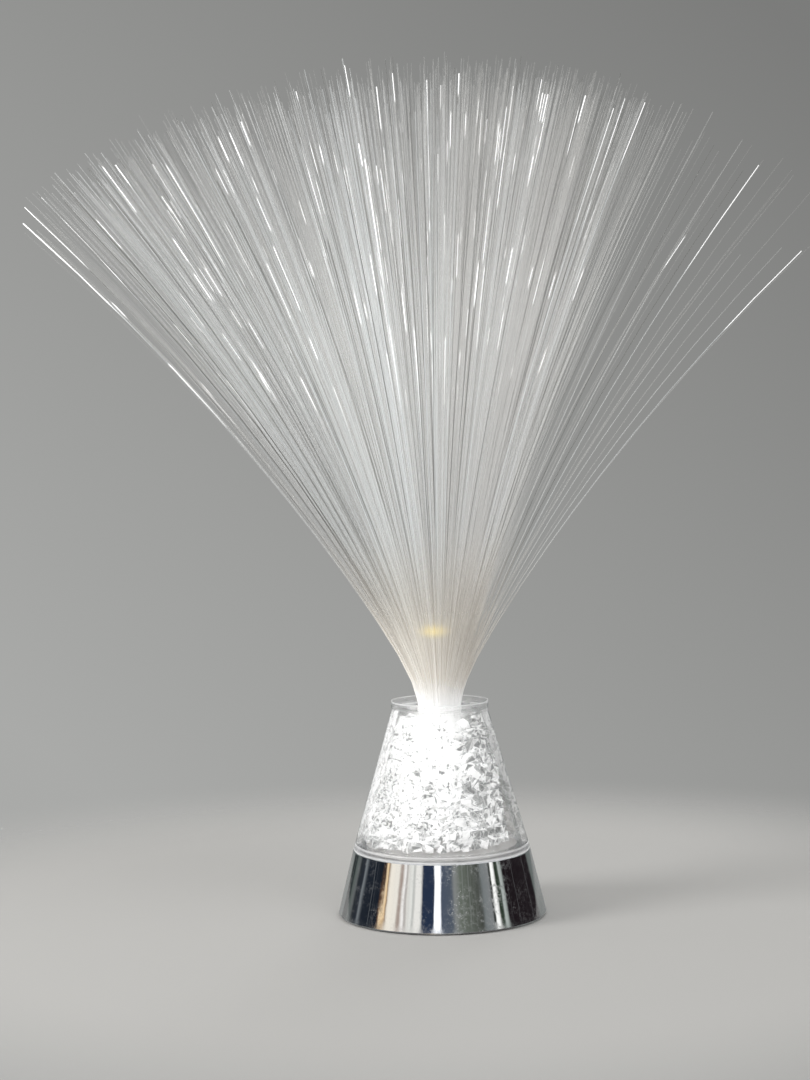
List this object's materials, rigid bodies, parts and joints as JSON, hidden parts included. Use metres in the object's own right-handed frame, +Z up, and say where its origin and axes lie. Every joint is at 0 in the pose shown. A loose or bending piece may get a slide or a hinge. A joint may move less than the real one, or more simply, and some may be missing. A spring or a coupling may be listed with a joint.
{
  "type": "fibre optic lamp",
  "caption": "Battery table lamp with a chrome base, a clear cone of ice-like chips and a wide spray of light-guiding fibres rising from its top.",
  "frame": {"origin": "centre of the circle that the feet stand in, on the table", "axes": "+Z up along the lamp's axis, +X to the right and +Y away from the viewer in the pictured view; the battery door's finger latch is at +X and the switch is at -Y, both underneath"},
  "size_m": [0.3118, 0.3118, 0.3268],
  "materials": {
    "chrome": "mirror-bright plating",
    "clear_plastic": "clear moulded plastic",
    "ice_chip": "clear, with broken faces",
    "white_plastic": "gloss",
    "fibre": "clear drawn fibre",
    "ferrule_plastic": "matte",
    "board_green": "solder-masked board",
    "light_red": "clear tinted",
    "light_green": "clear tinted",
    "light_blue": "clear tinted",
    "black_plastic": "fine matte",
    "resistor_body": "matte",
    "steel": "plated",
    "nickel": "nickel plated",
    "cell_sleeve": "shrink sleeve",
    "lead_red": "insulated wire",
    "lead_black": "insulated wire",
    "foot_rubber": "matte"
  },
  "bodies": {
    "lamp": {"chrome_base": "chrome", "clear_cone": "clear_plastic", "top_cap": "clear_plastic", "chamber_floor": "white_plastic", "crystals": "ice_chip", "centre_tube": "clear_plastic", "fibre_ferrule": "ferrule_plastic", "fibre_bundle": "fibre", "fibre_spray": "fibre", "led_holder": "white_plastic", "led_board": "board_green", "red_led": "light_red", "green_led": "light_green", "blue_led": "light_blue", "control_chip": "black_plastic", "resistors": "resistor_body", "board_screws": "steel", "bottom_plate": "black_plastic", "plate_screws": "steel", "battery_1": "cell_sleeve", "battery_2": "cell_sleeve", "battery_3": "cell_sleeve", "contact_springs": "nickel", "contact_plates": "nickel", "switch_body": "steel", "lead_red": "lead_red", "lead_black": "lead_black", "lead_switch": "lead_black", "feet": "foot_rubber"},
    "door": {"battery_door": "black_plastic"},
    "slider": {"switch_slider": "black_plastic"}
  },
  "joints": [
    {"name": "switch_slide", "type": "slide", "parent": "lamp", "child": "slider", "axis": [1, 0, 0], "range_m": [0, 0.003]},
    {"name": "battery_door_hinge", "type": "hinge", "parent": "lamp", "child": "door", "pos_m": [-0.0276, 0, 0.001], "axis": [0, 1, 0], "range_deg": [0, 45]}
  ]
}
